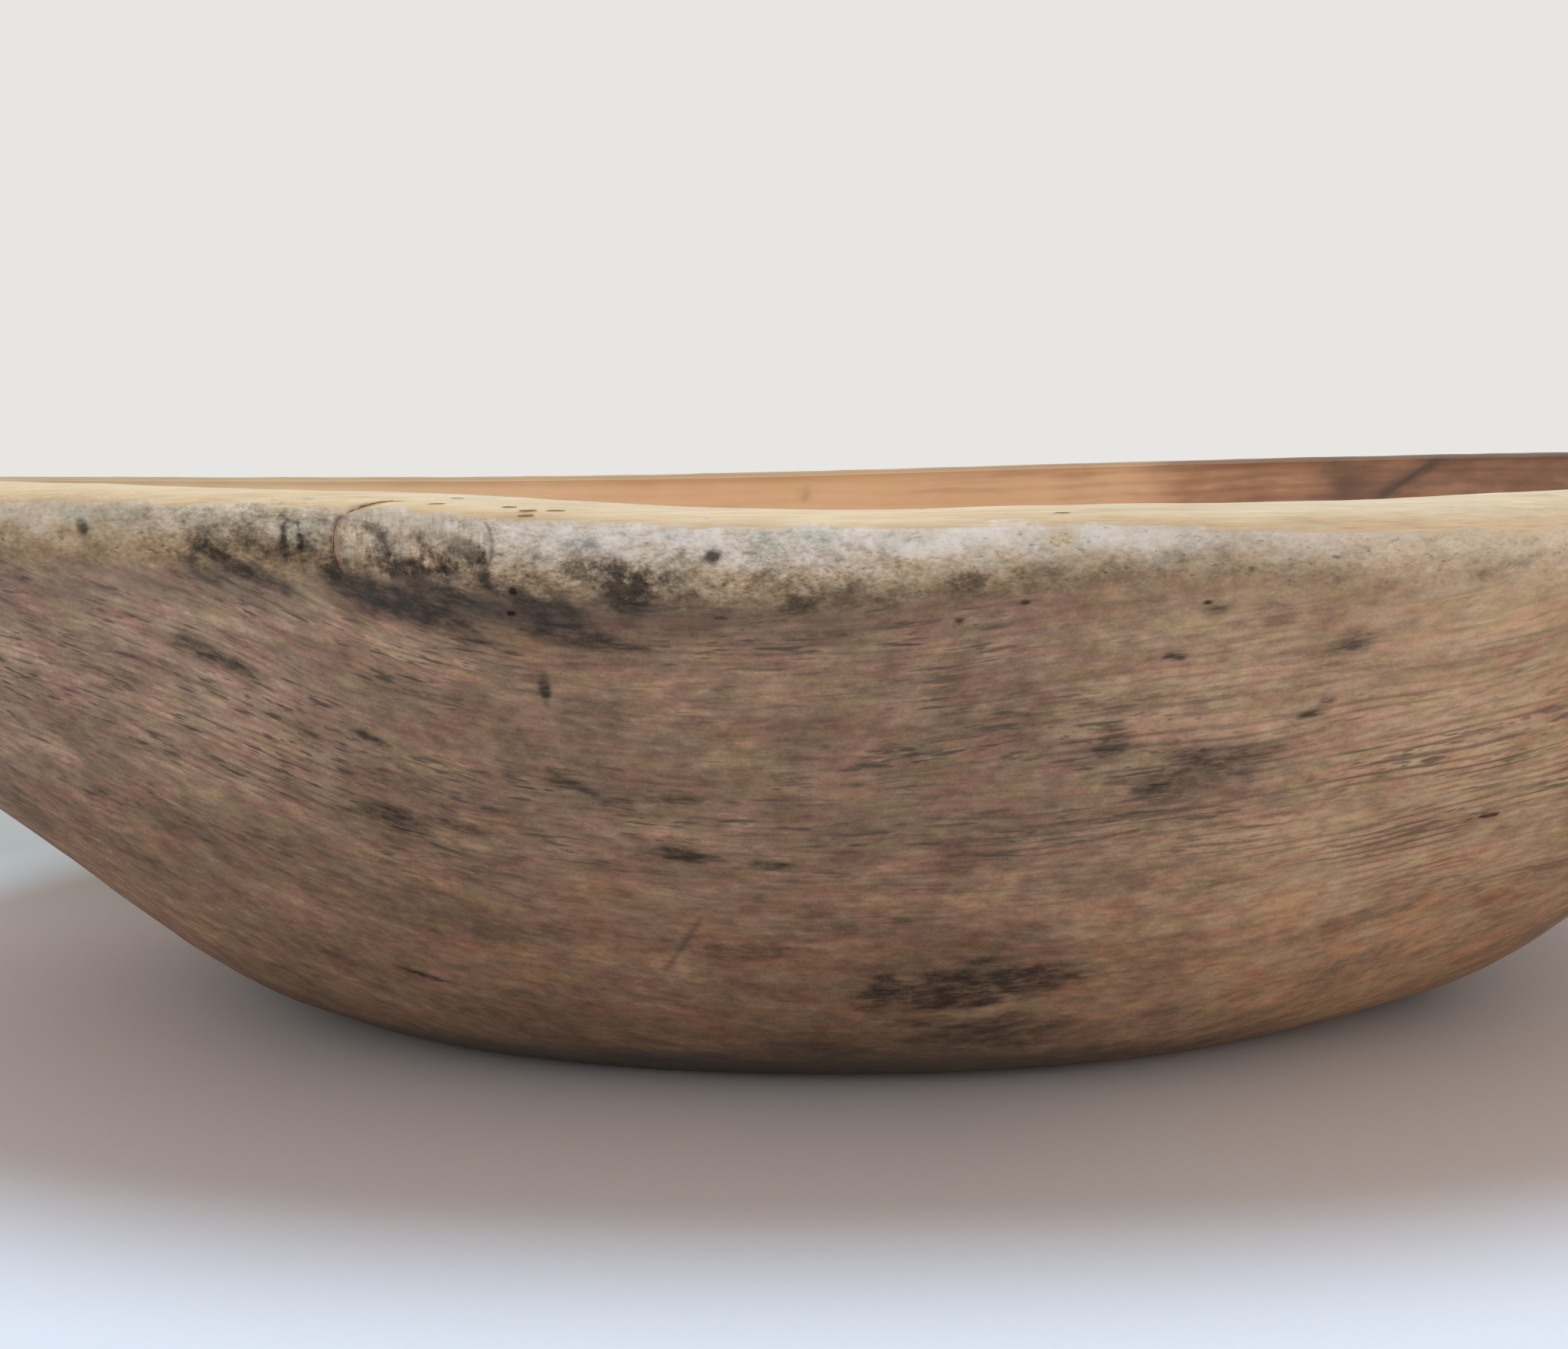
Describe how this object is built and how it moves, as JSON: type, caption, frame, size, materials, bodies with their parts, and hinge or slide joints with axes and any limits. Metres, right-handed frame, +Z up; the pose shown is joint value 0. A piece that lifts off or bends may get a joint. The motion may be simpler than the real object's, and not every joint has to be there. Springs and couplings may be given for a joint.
{
  "type": "wooden dish",
  "caption": "Oblong hand-hewn wooden dish with a flat foot, flaring walls, an upright weathered edge, a worn rim and branch knots set in the front rim.",
  "frame": {"origin": "centre of the flat foot, on the table", "axes": "+X along the dish's length and its grain, +Y across it away from the side with the rim knot, +Z up out of the hollow"},
  "size_m": [0.48, 0.31, 0.1149],
  "materials": {
    "weathered_wood": "dry, silver-grey and brown weathered hardwood, worn to honey colour on the rim",
    "knot_wood": "grey-brown end grain of an encased branch knot, dry and mottled",
    "pin_wood": "tan pin knot, dry"
  },
  "bodies": {
    "root": {"dish_body": "weathered_wood", "rim_knot": "knot_wood", "pin_knot": "pin_wood"}
  },
  "joints": []
}
